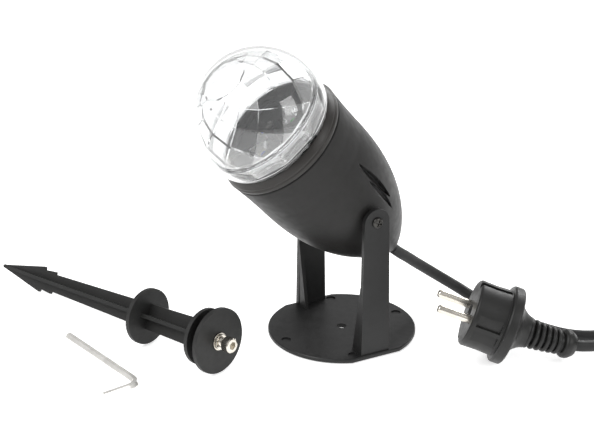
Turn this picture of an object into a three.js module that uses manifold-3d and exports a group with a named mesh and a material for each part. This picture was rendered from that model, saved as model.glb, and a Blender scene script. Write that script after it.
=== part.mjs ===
// Garden light projector on a U bracket, with its ground spike, hex key and mains lead.
// Millimetres, +Z up. The origin is the centre of the base plate's underside. The pivot axis runs along X,
// the lamp points towards -Y and up, and its cord leaves at the back.
import * as THREE from 'three';
import { ConvexGeometry } from 'three/addons/geometries/ConvexGeometry.js';
import { mergeVertices } from 'three/addons/utils/BufferGeometryUtils.js';
import Module from 'manifold-3d';

const wasm = await Module();
wasm.setup();

const GAP = 0.3;                    // clearance between touching pieces

// Bracket
const PLATE_RADIUS = 42;
const PLATE_THICKNESS = 2.5;
const PLATE_CHORD = 39.1;           // distance of the two flats from the centre
const PLATE_BEVEL = 0.5;
const PLATE_HOLE_RADIUS = 2.8;      // clears the M5 screw of the spike
const RECESS_RADIUS = 2.8;
const RECESS_DEPTH = 0.7;
const RECESS_CIRCLE = 36;
const RECESS_ANGLES = [90, 270, 160.5, 340.5];
const ARM_OUTER = 37.8;
const ARM_THICKNESS = 2.8;
const ARM_INNER = ARM_OUTER - ARM_THICKNESS;
const ARM_FOOT_HALF = 9;
const ARM_TOP_RADIUS = 7.7;
const PIVOT_HEIGHT = 81.7;
const RIB_THICKNESS = 2;
const RIB_PLACE = -7.5;
const RIB_HEIGHT = 43;
const RIB_DEPTH = 8;

// Lamp head, measured along its axis from the pivot, with the front positive
const HEAD_TILT = 41.3;               // degrees forward from straight up
const HEAD_RADIUS = 35.9;
const HEAD_WIDEST = 36.3;
const HEAD_TAPER = 86.9;
const HEAD_TAIL = -46;
const HEAD_FRONT = 56.9;
const HEAD_FRONT_RADIUS = 36.9;
const WALL = 2.6;
const LEDGE = 52.8;
const BORE_RADIUS = 34.6;

// Clear cover and crystal
const COVER_RADIUS = 37.8;
const COVER_WALL = 1.6;
const COVER_CENTRE = 78.2;
const NECK_RADIUS = 34.3;
const CRYSTAL_RADIUS = 35.4;
const CRYSTAL_BORE = 32.5;
const CRYSTAL_SIDES = 11;
const CRYSTAL_TURN = -18.6;         // degrees about its axis at rest
const SEAM = 77.4;
const CRYSTAL_FOOT = 66.7;

// Cord
const CORD_DIAMETER = 6.4;
const CORD_RADIUS = CORD_DIAMETER / 2;
const RELIEF_END = -49;
const COIL_CENTRE = [136.1, 201.5];
const COIL_INNER = 21.6;
const COIL_OUTER = 60;
const COIL_BASE = 1.5;
const COIL_HEIGHT = 13.2;
const TIE_WIDTH = 8;
const TIE_THICKNESS = 1.2;
const TIE_ANGLE = 61.4;

// Ground spike: its frame has the screw's end as +X and the disc's front face at 0
const SPIKE_PLACE = [12.6, -84.3];
const SPIKE_YAW = 20.4;
const SPIKE_LENGTH = 174.8;
const SPIKE_ROLL = -27;
const FRONT_DISC_RADIUS = 18.65;
const SMALL_DISC_RADIUS = 16.1;
const MIDDLE_DISC = -53.8;
const DISC_THICKNESS = 2.4;
const SPIKE_PITCH = Math.asin((FRONT_DISC_RADIUS - SMALL_DISC_RADIUS) / -MIDDLE_DISC);

// Hex key
const KEY_SIZE = 4;
const KEY_LONG = 71.8;
const KEY_SHORT = 23.7;
const KEY_BEND = 6;
const KEY_ROLL = Math.PI / 6;
const KEY_CORNER = [7.5, -130.2];
const KEY_YAW = 189.1;

// Plug: its frame has the pins' direction as +Z and the face at 0
const PLUG_FACE = [64.3, 44.3, 28.9];
const PLUG_YAW = 237.6;
const PLUG_RISE = 20;
const PLUG_RADIUS = 19;
const PLUG_COLLAR_RADIUS = 22;
const PIN_RADIUS = 2.4;
const PIN_LENGTH = 19;
const PIN_SPACING = 19;

const rad = THREE.MathUtils.degToRad;

// ---------------------------------------------------------------- materials
function finish(color, roughness, metalness = 0) {
  return new THREE.MeshStandardMaterial({ color, roughness, metalness });
}
const blackPlastic = finish(0x2c2b29, 0.55);
const bracketPlastic = finish(0x3b3a38, 0.5);
const bezelPlastic = finish(0x45423d, 0.45);
const spikePlastic = finish(0x3a3938, 0.65);
const rubber = finish(0x232323, 0.75);
const seal = finish(0x151515, 0.85);
const clear = finish(0xf4f6f7, 0.05);
const nickel = finish(0xc9c4bb, 0.25, 1);
const darkSteel = finish(0x4a4846, 0.4, 1);
const aluminium = finish(0xa8a9aa, 0.4, 1);
const board = finish(0x1f5a34, 0.6);
const whiteBoard = finish(0xe6e6e2, 0.5);
const brown = finish(0x6b3a1e, 0.6);
const blue = finish(0x1f4fa0, 0.6);
const red = finish(0xb02020, 0.5);

// ---------------------------------------------------------------- geometry helpers
function solidOf(geometry) {
  const bare = geometry.clone();
  for (const name of Object.keys(bare.attributes)) {
    if (name !== 'position') bare.deleteAttribute(name);
  }
  const merged = mergeVertices(bare, 1e-4);
  const count = merged.attributes.position.count;
  const vertProperties = new Float32Array(count * 3);
  vertProperties.set(merged.attributes.position.array.subarray(0, count * 3));
  const triVerts = new Uint32Array(merged.index.array);
  return new wasm.Manifold(new wasm.Mesh({ numProp: 3, vertProperties, triVerts }));
}

function geometryOf(solid) {
  const mesh = solid.getMesh();
  const geometry = new THREE.BufferGeometry();
  geometry.setAttribute('position', new THREE.BufferAttribute(new Float32Array(mesh.vertProperties), 3));
  geometry.setIndex(new THREE.BufferAttribute(new Uint32Array(mesh.triVerts), 1));
  return geometry;
}

function combine(base, added = [], removed = []) {
  let solid = solidOf(base);
  for (const piece of added) solid = solid.add(solidOf(piece));
  for (const piece of removed) solid = solid.subtract(solidOf(piece));
  return geometryOf(solid);
}

// A solid of revolution about Z from [radius, height] points, listed with the outside on the way up.
function turned(points, sides = 32) {
  const profile = points.map(([radius, height]) => new THREE.Vector2(radius, height));
  const closed = points[0][0] > 0;
  if (closed) profile.push(profile[0].clone());
  const geometry = new THREE.LatheGeometry(profile, sides);
  geometry.rotateX(Math.PI / 2);
  return geometry;
}

function ring(inner, outer, low, high, sides = 32) {
  return turned([[inner, low], [outer, low], [outer, high], [inner, high]], sides);
}

function rod(radius, low, high, sides = 16) {
  const geometry = new THREE.CylinderGeometry(radius, radius, high - low, sides);
  geometry.rotateX(Math.PI / 2);
  geometry.translate(0, 0, (low + high) / 2);
  return geometry;
}

function rodX(radius, from, to, sides = 16) {
  const geometry = rod(radius, from, to, sides);
  geometry.rotateY(Math.PI / 2);
  return geometry;
}

function block(width, depth, low, high, x = 0, y = 0) {
  const geometry = new THREE.BoxGeometry(width, depth, high - low);
  geometry.translate(x, y, (low + high) / 2);
  return geometry;
}

function circlePath(radius, x = 0, y = 0) {
  const sides = radius > 5 ? 24 : 12;
  const points = [];
  for (let i = 0; i < sides; i++) {
    const angle = -i * 2 * Math.PI / sides;
    points.push(new THREE.Vector2(x + radius * Math.cos(angle), y + radius * Math.sin(angle)));
  }
  return new THREE.Path(points);
}

function plate(shape, low, high, curveSegments = 12) {
  const settings = { depth: high - low, bevelEnabled: false, curveSegments };
  const geometry = new THREE.ExtrudeGeometry(shape, settings);
  geometry.translate(0, 0, low);
  return geometry;
}

function disc(radius, low, high, holes = []) {
  const shape = polygonShape(radius, 40);
  for (const [holeRadius, x, y] of holes) shape.holes.push(circlePath(holeRadius, x, y));
  return plate(shape, low, high);
}

function polygonShape(radius, sides, turn = 0) {
  const points = [];
  for (let i = 0; i < sides; i++) {
    const angle = turn + i * 2 * Math.PI / sides;
    points.push(new THREE.Vector2(radius * Math.cos(angle), radius * Math.sin(angle)));
  }
  return new THREE.Shape(points);
}

// A tube of the given radius along a smooth curve through the points.
function tube(points, radius, steps, sides = 8) {
  const curve = new THREE.CatmullRomCurve3(points.map((p) => new THREE.Vector3(...p)), false, 'centripetal');
  const section = polygonShape(radius, sides, Math.PI / sides);
  return new THREE.ExtrudeGeometry(section, { steps, extrudePath: curve, bevelEnabled: false });
}

function piece(name, geometry, material, parent) {
  const mesh = new THREE.Mesh(geometry, material);
  mesh.name = name;
  parent.add(mesh);
  return mesh;
}

// ---------------------------------------------------------------- groups
const lamp = new THREE.Group();
const head = new THREE.Group();
head.position.set(0, 0, PIVOT_HEIGHT);
head.rotation.x = rad(HEAD_TILT);
lamp.add(head);

// ---------------------------------------------------------------- bracket
function bracket() {
  const half = Math.acos(PLATE_CHORD / PLATE_RADIUS);
  const outline = new THREE.Shape();
  outline.absarc(0, 0, PLATE_RADIUS - PLATE_BEVEL, half, Math.PI - half, false);
  outline.absarc(0, 0, PLATE_RADIUS - PLATE_BEVEL, Math.PI + half, 2 * Math.PI - half, false);
  const base = new THREE.ExtrudeGeometry(outline, {
    depth: PLATE_THICKNESS - 2 * PLATE_BEVEL,
    bevelThickness: PLATE_BEVEL,
    bevelSize: PLATE_BEVEL,
    bevelSegments: 1,
    curveSegments: 16,
  });
  base.translate(0, 0, PLATE_BEVEL);

  const added = [];
  const removed = [rod(PLATE_HOLE_RADIUS, -1, PLATE_THICKNESS + 1, 20)];
  for (const angle of RECESS_ANGLES) {
    const recess = rod(RECESS_RADIUS, PLATE_THICKNESS - RECESS_DEPTH, PLATE_THICKNESS + 1, 14);
    recess.translate(RECESS_CIRCLE * Math.cos(rad(angle)), RECESS_CIRCLE * Math.sin(rad(angle)), 0);
    removed.push(recess);
  }
  for (const side of [-1, 1]) {
    const face = new THREE.Shape();
    face.moveTo(-ARM_FOOT_HALF, 1);
    face.lineTo(ARM_FOOT_HALF, 1);
    face.lineTo(ARM_TOP_RADIUS, PIVOT_HEIGHT);
    face.absarc(0, PIVOT_HEIGHT, ARM_TOP_RADIUS, 0, Math.PI, false);
    face.holes.push(circlePath(2 + GAP, 0, PIVOT_HEIGHT));
    const arm = plate(face, 0, ARM_THICKNESS, 8);
    arm.rotateX(Math.PI / 2);
    arm.rotateZ(Math.PI / 2);
    arm.translate(side > 0 ? ARM_INNER : -ARM_OUTER, 0, 0);
    added.push(arm);

    const web = new THREE.Shape();
    web.moveTo(0.5, 1);
    web.lineTo(0.5, RIB_HEIGHT);
    web.lineTo(0, RIB_HEIGHT);
    web.lineTo(-RIB_DEPTH, PLATE_THICKNESS);
    web.lineTo(-RIB_DEPTH, 1);
    const rib = plate(web, -RIB_THICKNESS / 2, RIB_THICKNESS / 2);
    rib.rotateX(Math.PI / 2);
    rib.translate(ARM_INNER, RIB_PLACE, 0);
    if (side < 0) {
      rib.rotateZ(Math.PI);
      rib.translate(0, 2 * RIB_PLACE, 0);
    }
    added.push(rib);
  }
  return combine(base, added, removed);
}
piece('base_bracket', bracket(), bracketPlastic, lamp);

// ---------------------------------------------------------------- head housing
function headRadius(place) {
  const back = Math.max(0, (HEAD_WIDEST - place) / HEAD_TAPER);
  return HEAD_RADIUS * Math.pow(1 - Math.pow(back, 2.47), 1 / 1.2);
}

function headOutline(offset, low, steps) {
  const points = [];
  for (let i = 0; i <= steps; i++) {
    const place = low + (HEAD_WIDEST - low) * Math.sin((i / steps) * Math.PI / 2);
    points.push([headRadius(place) - offset, place]);
  }
  return points;
}

function lens(length, width) {
  const half = length / 2;
  const bulge = new THREE.Shape();
  bulge.moveTo(-half, 0);
  bulge.quadraticCurveTo(0, -width, half, 0);
  bulge.quadraticCurveTo(0, width, -half, 0);
  return bulge;
}

// A skin of the given depth under the outside of the head, seen from the side through a lens outline.
function ventPocket(depth, centre, length, width, angle) {
  const outside = headOutline(-1, -30, 6);
  const inside = headOutline(depth, -30, 6).reverse();
  const skin = solidOf(turned([...outside, ...inside], 48));
  const window = plate(lens(length, width), 15, 50, 5);
  window.rotateX(Math.PI / 2);
  window.rotateY(Math.PI / 2);
  window.rotateX(Math.PI);
  window.rotateZ(Math.PI);
  const bounds = new THREE.Box3().setFromBufferAttribute(window.attributes.position);
  if (bounds.max.x < 0) window.rotateZ(Math.PI);
  window.translate(0, 0, centre);
  window.rotateZ(rad(angle));
  return geometryOf(skin.intersect(solidOf(window)));
}

function housing() {
  const outside = [
    [4.7, HEAD_TAIL],
    [7.2, HEAD_TAIL],
    ...headOutline(0, HEAD_TAIL + 1.2, 11),
    [HEAD_FRONT_RADIUS, HEAD_FRONT],
  ];
  const inside = [
    [BORE_RADIUS, HEAD_FRONT],
    [BORE_RADIUS, LEDGE],
    [HEAD_RADIUS - WALL, LEDGE - 1],
    ...headOutline(WALL, HEAD_TAIL + 5, 7).reverse(),
    [7, HEAD_TAIL + WALL],
    [4.7, HEAD_TAIL + WALL],
  ];
  const shell = turned([...outside, ...inside], 48);
  const added = [];
  const removed = [];
  for (const side of [-1, 1]) {
    const from = side > 0 ? 26 : -33.4;
    added.push(rodX(6.5, from, from + 7.4, 20));
    removed.push(rodX(5.7, side > 0 ? 33.4 : -37, side > 0 ? 37 : -33.4, 20));
    removed.push(rodX(2 + GAP, side > 0 ? 20 : -40, side > 0 ? 40 : -20, 12));
    const boss = rod(2.6, -36.5, -28.3, 12);
    boss.translate(side * 11, 0, 0);
    added.push(boss);
    const thread = rod(1 + GAP, -35, -27, 8);
    thread.translate(side * 11, 0, 0);
    removed.push(thread);
    const angle = side > 0 ? 27 : 153;
    const lean = side * 2.2;
    removed.push(ventPocket(1.7, 15.5, 34, 4.6, angle));
    removed.push(ventPocket(1.1, 4.5, 29, 4.6, angle - lean * 1.6));
    const drain = block(3, 1.4, -3.2, 3.2, side * 26, 0);
    drain.translate(0, 0, -20.6);
    removed.push(drain);
  }
  return combine(shell, added, removed);
}
piece('head_housing', housing(), blackPlastic, head);

// ---------------------------------------------------------------- pivot
function hexNut(hole, across, low, high) {
  const shape = polygonShape(across / Math.sqrt(3), 6);
  shape.holes.push(circlePath(hole));
  return plate(shape, low, high, 6);
}

function crossHeadScrew(shankRadius, capRadius, headHeight, length, slot, sides = 10) {
  const body = turned([
    [0, -length],
    [shankRadius, -length],
    [shankRadius, 0],
    [capRadius, 0],
    [capRadius, headHeight * 0.45],
    [capRadius * 0.72, headHeight * 0.88],
    [0, headHeight],
  ], sides);
  const bars = [
    block(slot, slot * 0.22, headHeight * 0.3, headHeight + 1),
    block(slot * 0.22, slot, headHeight * 0.3, headHeight + 1),
  ];
  return combine(body, [], bars);
}

for (const [label, side] of [['left', -1], ['right', 1]]) {
  const screw = crossHeadScrew(2, 3.4, 2.2, 16.6, 4, 20);
  screw.rotateZ(rad(25));
  screw.rotateY(Math.PI / 2);
  screw.translate(ARM_OUTER + GAP, 0, 0);
  const washer = ring(2 + GAP, 5.2, 33.7, ARM_INNER - GAP, 20);
  washer.rotateY(Math.PI / 2);
  const nut = hexNut(2 + GAP, 7, 22.5, 25.7);
  nut.rotateY(Math.PI / 2);
  for (const part of [screw, washer, nut]) {
    if (side < 0) part.rotateZ(Math.PI);
  }
  piece(`pivot_screw_${label}`, screw, darkSteel, head);
  piece(`pivot_washer_${label}`, washer, darkSteel, head);
  piece(`pivot_nut_${label}`, nut, nickel, head);
}

// ---------------------------------------------------------------- front ring, seals and clear cover
piece('front_bezel', turned([
  [35.9, 58.5],
  [37.2, 58.5],
  [37.3, 60],
  [36.9, 60.3],
  [36.8, 61],
  [36.4, 62.5],
  [35.7, 64.2],
  [35, 65.3],
  [34.6, 65.3],
  [34.6, 62.7],
  [35.9, 62.7],
], 40), bezelPlastic, head);
piece('bezel_gasket', ring(32.9, 36.8, 57.2, 58.2, 36), seal, head);
piece('cover_seal', ring(33, 35.6, 58.5, 60.5, 36), seal, head);

function sphereArc(radius, lowest, steps) {
  const points = [];
  const start = Math.asin((lowest - COVER_CENTRE) / radius);
  for (let i = 0; i <= steps; i++) {
    const angle = start + (Math.PI / 2 - start) * i / steps;
    const away = i === steps ? 0 : radius * Math.cos(angle);
    points.push([away, COVER_CENTRE + radius * Math.sin(angle)]);
  }
  return points;
}

// The cover is a solid dome with a neck and flange, less the same outline drawn one wall inside.
function coverShell() {
  const outline = [
    [0, 60.8],
    [35.6, 60.8],
    [35.6, 62.4],
    [NECK_RADIUS, 62.4],
    [NECK_RADIUS, 65.5],
    ...sphereArc(COVER_RADIUS, 66.6, 9),
  ];
  const hollow = [
    [0, 55],
    [NECK_RADIUS - COVER_WALL, 55],
    [NECK_RADIUS - COVER_WALL, 65.9],
    ...sphereArc(COVER_RADIUS - COVER_WALL, 67.2, 9),
  ];
  return combine(turned(outline, 40), [], [turned(hollow, 40)]);
}
piece('clear_cover', coverShell(), clear, head);

// ---------------------------------------------------------------- faceted crystal and its drive
// Rings of points on a sphere, each turned half a step from the last, spaced so that every four-sided
// facet between three rings is flat.
function facetRings() {
  const half = Math.PI / CRYSTAL_SIDES;
  const rings = [rad(98), rad(81.5)];
  while (rings.at(-1) > rad(24)) {
    const bottom = rings.at(-2);
    const side = rings.at(-1);
    const across = Math.sin(bottom) - Math.sin(side) * Math.cos(half);
    const along = Math.cos(side) - Math.cos(bottom);
    rings.push(2 * Math.atan2(along, across) - bottom);
  }
  return rings;
}

function facetedBall() {
  const step = 2 * Math.PI / CRYSTAL_SIDES;
  const points = [];
  facetRings().forEach((polar, row) => {
    for (let i = 0; i < CRYSTAL_SIDES; i++) {
      const angle = (i + (row % 2) / 2) * step + rad(CRYSTAL_TURN);
      points.push(new THREE.Vector3(
        CRYSTAL_RADIUS * Math.sin(polar) * Math.cos(angle),
        CRYSTAL_RADIUS * Math.sin(polar) * Math.sin(angle),
        COVER_CENTRE + CRYSTAL_RADIUS * Math.cos(polar),
      ));
    }
  });
  for (let i = 0; i < CRYSTAL_SIDES; i++) {
    const angle = i * step + rad(CRYSTAL_TURN);
    points.push(new THREE.Vector3(33 * Math.cos(angle), 33 * Math.sin(angle), CRYSTAL_FOOT));
  }
  return new ConvexGeometry(points);
}

function crystalShell(low, high, rimLow, rimHigh) {
  const inner = CRYSTAL_BORE;
  const dome = solidOf(facetedBall()).intersect(solidOf(block(100, 100, low, high)));
  const rim = solidOf(ring(inner - 2, CRYSTAL_RADIUS + 0.2, rimLow, rimHigh, 36));
  const bore = turned([
    [0, 50],
    [inner - 1.5, 50],
    [inner - 1.5, 68],
    [inner - 0.4, 71],
    [inner, COVER_CENTRE],
    ...sphereArc(inner, 80, 6),
  ], 24);
  return geometryOf(dome.add(rim).subtract(solidOf(bore)));
}

const rotor = new THREE.Group();
head.add(rotor);
piece('crystal_cap', crystalShell(SEAM + GAP / 2, 130, SEAM + GAP / 2, SEAM + 1), clear, rotor);
piece('crystal_band', crystalShell(CRYSTAL_FOOT, SEAM - GAP / 2, SEAM - 1, SEAM - GAP / 2), clear, rotor);

function carrier() {
  const spokes = [];
  for (let i = 0; i < 3; i++) {
    const spoke = block(26, 4, 64.6, 66.2, 16.5, 0);
    spoke.rotateZ(i * 2 * Math.PI / 3);
    spokes.push(spoke);
  }
  const hub = rod(5, 61.5, 69.5, 20);
  return combine(ring(28.8, 32.2, 64.4, 66.4, 40), [...spokes, hub], [rod(2 + GAP, 60, 71, 16)]);
}
piece('crystal_carrier', carrier(), blackPlastic, rotor);
piece('drive_shaft', turned([
  [0, 44.5],
  [2, 44.5],
  [2, 69.4],
  [1.1, 69.4],
  [1.1, 64],
  [0, 64],
], 16), nickel, rotor);
const hubScrew = crossHeadScrew(0.8, 2.4, 1.3, 5, 2.6);
hubScrew.translate(0, 0, 69.8);
piece('hub_screw', hubScrew, nickel, rotor);

// ---------------------------------------------------------------- light engine
const LED_CIRCLE = 17;
const LED_ANGLES = [45, 135, 225, 315];
const SCREW_CIRCLE = 24;
const SCREW_ANGLES = [0, 120, 240];

function around(radius, angles, holeRadius) {
  return angles.map((angle) => [holeRadius, radius * Math.cos(rad(angle)), radius * Math.sin(rad(angle))]);
}

piece('inner_chassis', turned([
  [24, 14],
  [32, 14],
  [32, 53.1],
  [34.2, 53.1],
  [34.2, 54.7],
  [30.6, 54.7],
  [30.6, 33.7],
  [29.2, 33.7],
  [29.2, 15.6],
  [24, 15.6],
], 32), blackPlastic, head);
piece('deck_plate', disc(34.2, 55, 56.6, [[4, 0, 0], ...around(LED_CIRCLE, LED_ANGLES, 6.4)]),
  blackPlastic, head);
piece('motor_bracket', disc(30.3, 34, 35.6, [
  [12.5, 0, 0],
  ...around(SCREW_CIRCLE, SCREW_ANGLES, 1.3),
  ...around(15.2, [60, 240], 1.3),
  [1.6, 0, 28],
]), aluminium, head);
piece('led_board', disc(30.2, 46.6, 48.2, [[4, 0, 0], ...around(SCREW_CIRCLE, SCREW_ANGLES, 1.8)]),
  whiteBoard, head);

function heatSink() {
  const fins = 18;
  const points = [];
  for (let i = 0; i < fins; i++) {
    const centre = (i + 0.5) * 2 * Math.PI / fins;
    for (const [radius, swing] of [[17, -0.1], [27, -0.045], [27, 0.045], [17, 0.1]]) {
      const angle = centre + swing;
      points.push(new THREE.Vector2(radius * Math.cos(angle), radius * Math.sin(angle)));
    }
  }
  const shape = new THREE.Shape(points);
  shape.holes.push(circlePath(14.2));
  return plate(shape, 39.8, 46.3, 16);
}
piece('heat_sink', heatSink(), aluminium, head);

const gearMotor = combine(rod(12, 27, 40.6, 28), [
  rod(9, 40, 44.2, 24),
  block(5.5, 5.5, 35.9, 37.4, 15.2 * Math.cos(rad(60)), 15.2 * Math.sin(rad(60))),
  block(5.5, 5.5, 35.9, 37.4, -15.2 * Math.cos(rad(60)), -15.2 * Math.sin(rad(60))),
  block(3, 22, 35.9, 37.4, 3, 0),
], [
  ...[60, 240].map((angle) => {
    const hole = rod(1.3, 30, 39, 10);
    hole.translate(15.2 * Math.cos(rad(angle)), 15.2 * Math.sin(rad(angle)), 0);
    return hole;
  }),
]);
piece('gear_motor', gearMotor, nickel, head);

[60, 240].forEach((angle, i) => {
  const screw = crossHeadScrew(1, 2.1, 1.3, 5, 2.4);
  screw.translate(15.2 * Math.cos(rad(angle)), 15.2 * Math.sin(rad(angle)), 37.4 + GAP);
  piece(`motor_screw_${i + 1}`, screw, nickel, head);
});
SCREW_ANGLES.forEach((angle, i) => {
  const screw = crossHeadScrew(1, 2.6, 1.5, 15.5, 2.8);
  screw.translate(SCREW_CIRCLE * Math.cos(rad(angle)), SCREW_CIRCLE * Math.sin(rad(angle)), 48.2 + GAP);
  piece(`stack_screw_${i + 1}`, screw, nickel, head);
});

const ledColours = [['red', 0xff5040], ['green', 0x50ff60], ['blue', 0x4070ff], ['white', 0xfff6e0]];
ledColours.forEach(([label, color], i) => {
  const x = LED_CIRCLE * Math.cos(rad(LED_ANGLES[i]));
  const y = LED_CIRCLE * Math.sin(rad(LED_ANGLES[i]));
  const led = turned([[0, 48.5], [2, 48.5], [2, 49.2], [1.4, 49.2], [1, 49.8], [0, 50]], 12);
  led.translate(x, y, 0);
  piece(`led_${label}`, led, finish(color, 0.3), head);
  const lensBody = turned([[0, 50.4], [3, 50.4], [6, 55.8], [6, 56.4], [0, 56.9]], 20);
  lensBody.translate(x, y, 0);
  piece(`collimator_${label}`, lensBody, clear, head);
});

// ---------------------------------------------------------------- driver electronics
piece('driver_board', disc(28.9, 15.9, 17.5, [[1.4, 10, 14], [1.4, -10, 14], [1.4, 0, -20]]), board, head);
piece('transformer', block(15, 13, 17.8, 26.5, -8, -9), brown, head);
const canister = rod(4, 17.8, 26.4, 16);
canister.translate(12, -8, 0);
piece('smoothing_capacitor', canister, blue, head);
piece('terminal_block', block(14, 8, 6.6, 15.6), whiteBoard, head);
piece('led_lead', tube([[0, 22, 17.9], [0, 25, 22], [0, 28, 30], [0, 28.1, 38], [0, 28.1, 46.2]], 0.7, 12, 6),
  red, head);

// ---------------------------------------------------------------- cord entry
piece('strain_relief', turned([
  [CORD_RADIUS + GAP, RELIEF_END],
  [4, RELIEF_END],
  [4.4, HEAD_TAIL - 0.3],
  [4.4, HEAD_TAIL],
  [4.4, HEAD_TAIL + WALL + GAP],
  [6.2, HEAD_TAIL + WALL + GAP],
  [6.2, -41.2],
  [4.4, -40.8],
  [4.1, -29],
  [CORD_RADIUS + GAP, -29],
], 16), rubber, head);
piece('inner_cord_end', rod(CORD_RADIUS, RELIEF_END, -22, 16), rubber, head);
piece('cord_clamp', disc(17, -28, -25.6, [
  [CORD_RADIUS + GAP, 0, 0],
  [1.3, 11, 0],
  [1.3, -11, 0],
]), whiteBoard, head);
[-1, 1].forEach((side, i) => {
  const screw = crossHeadScrew(1, 2.2, 1.4, 8, 2.4);
  screw.translate(side * 11, 0, -25.6 + GAP);
  piece(`clamp_screw_${i + 1}`, screw, nickel, head);
});
for (const [label, side, material] of [['live', -1, brown], ['neutral', 1, blue]]) {
  piece(`mains_core_${label}`, tube([
    [side * 1.4, 0, -21.6],
    [side * 2, 1, -14],
    [side * 4, 1.5, -4],
    [side * 3.6, 0.5, 2],
    [side * 3.5, 0, 6.2],
  ], 1, 12, 6), material, head);
}

// ---------------------------------------------------------------- ground spike
const spike = new THREE.Group();
spike.position.set(SPIKE_PLACE[0], SPIKE_PLACE[1], FRONT_DISC_RADIUS * Math.cos(SPIKE_PITCH) + 0.3);
spike.rotation.set(0, -SPIKE_PITCH, rad(SPIKE_YAW), 'ZYX');
lamp.add(spike);

// A fin's half outline from its root to the tip; a barbed fin has two teeth behind the point.
function finShape(barbed) {
  const rear = -8;
  const rearHalf = 8.4;
  const neck = -131.5;
  const neckHalf = 5.1;
  const shape = new THREE.Shape();
  shape.moveTo(rear, 0);
  shape.lineTo(rear, rearHalf);
  shape.lineTo(neck, neckHalf);
  if (barbed) {
    shape.lineTo(neck - 0.3, 6.6);
    shape.lineTo(neck - 7, 6);
    shape.lineTo(neck - 9, 5.4);
    shape.lineTo(neck - 9.6, 7.6);
  } else {
    shape.lineTo(neck - 9.6, 4.9);
  }
  shape.lineTo(-SPIKE_LENGTH + 0.6, 0.7);
  shape.lineTo(-SPIKE_LENGTH, 0);
  return shape;
}

function turnedX(points, sides) {
  const geometry = turned(points, sides);
  geometry.rotateY(Math.PI / 2);
  return geometry;
}

function spikeBody() {
  const added = [];
  for (let i = 0; i < 4; i++) {
    const fin = plate(finShape(i % 2 === 1), -1, 1);
    fin.rotateX(Math.PI / 2 * i + rad(SPIKE_ROLL));
    added.push(fin);
  }
  const discs = [
    turnedX([
      [0, MIDDLE_DISC - DISC_THICKNESS],
      [SMALL_DISC_RADIUS, MIDDLE_DISC - DISC_THICKNESS],
      [SMALL_DISC_RADIUS, MIDDLE_DISC],
      [0, MIDDLE_DISC],
    ], 40),
    turnedX([
      [0, -11.6],
      [SMALL_DISC_RADIUS, -11.6],
      [SMALL_DISC_RADIUS, -9.2],
      [9.5, -9.2],
      [9.5, -2.6],
      [FRONT_DISC_RADIUS, -2.6],
      [FRONT_DISC_RADIUS, 0],
      [0, 0],
    ], 40),
  ];
  const pocket = rodX(3.6 + GAP, -14, 1, 16);
  const washerSeat = rodX(5.3, -0.6, 1, 20);
  const core = rodX(1.4, -172, -8, 8);
  return combine(discs[1], [discs[0], core, ...added], [pocket, washerSeat]);
}
piece('spike_body', spikeBody(), spikePlastic, spike);
piece('spike_insert', turnedX([[2.8, -13.6], [3.6, -13.6], [3.6, -1], [2.8, -1]], 16), nickel, spike);
piece('spike_washer', turnedX([[2.8, -0.3], [5, -0.3], [5, 0.8], [2.8, 0.8]], 24), nickel, spike);

function socketScrew() {
  const body = turnedX([
    [0, -11],
    [2.5, -11],
    [2.5, 5],
    [4.25, 5],
    [4.25, 9.6],
    [3.9, 10],
    [0, 10],
  ], 28);
  const socket = plate(polygonShape((KEY_SIZE + 0.15) / Math.sqrt(3), 6), 7.3, 12);
  socket.rotateY(Math.PI / 2);
  return combine(body, [], [socket]);
}
piece('spike_screw', socketScrew(), nickel, spike);

// ---------------------------------------------------------------- hex key
function hexKey() {
  const bend = [];
  for (let i = 0; i <= 4; i++) {
    const angle = (i / 4) * Math.PI / 2;
    bend.push([KEY_BEND - KEY_BEND * Math.sin(angle), KEY_BEND - KEY_BEND * Math.cos(angle), 0]);
  }
  const path = new THREE.CurvePath();
  const v = (p) => new THREE.Vector3(...p);
  path.add(new THREE.LineCurve3(v([KEY_LONG, 0, 0]), v(bend[0])));
  for (let i = 0; i < 4; i++) path.add(new THREE.LineCurve3(v(bend[i]), v(bend[i + 1])));
  path.add(new THREE.LineCurve3(v(bend[4]), v([0, KEY_SHORT, 0])));
  const section = polygonShape(KEY_SIZE / Math.sqrt(3), 6, KEY_ROLL);
  return new THREE.ExtrudeGeometry(section, { steps: 30, extrudePath: path, bevelEnabled: false });
}
const key = piece('hex_key', hexKey(), nickel, lamp);
key.position.set(KEY_CORNER[0], KEY_CORNER[1], KEY_SIZE / 2 + 0.05);
key.rotation.z = rad(KEY_YAW);

// ---------------------------------------------------------------- plug
const plug = new THREE.Group();
plug.position.set(...PLUG_FACE);
plug.rotation.set(0, Math.PI / 2 - rad(PLUG_RISE), rad(PLUG_YAW), 'ZYX');
lamp.add(plug);

const RELIEF_RIBS = 6;
const RIB_PITCH = 3.4;
const RELIEF_START = -31;
const RELIEF_BEND = 106;            // the relief follows an arc of this radius towards -Y
const KNOB_PLACE = 58;
const TAIL_END = 62;

// A point on the relief's arc, at a distance behind the face.
function reliefPoint(place) {
  const angle = (place + RELIEF_START) / RELIEF_BEND;
  return [0, -RELIEF_BEND * (1 - Math.cos(angle)), RELIEF_START - RELIEF_BEND * Math.sin(angle)];
}

// Turns and shifts a geometry that is drawn about Z so that it sits on the relief's arc.
function onRelief(geometry, place) {
  geometry.rotateX(-(place + RELIEF_START) / RELIEF_BEND);
  geometry.translate(...reliefPoint(place));
  return geometry;
}

function reliefTube(radius, from, to, steps, sides) {
  const points = [];
  for (let i = 0; i <= 4; i++) points.push(reliefPoint(from + (to - from) * i / 4));
  return tube(points, radius, steps, sides);
}

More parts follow.
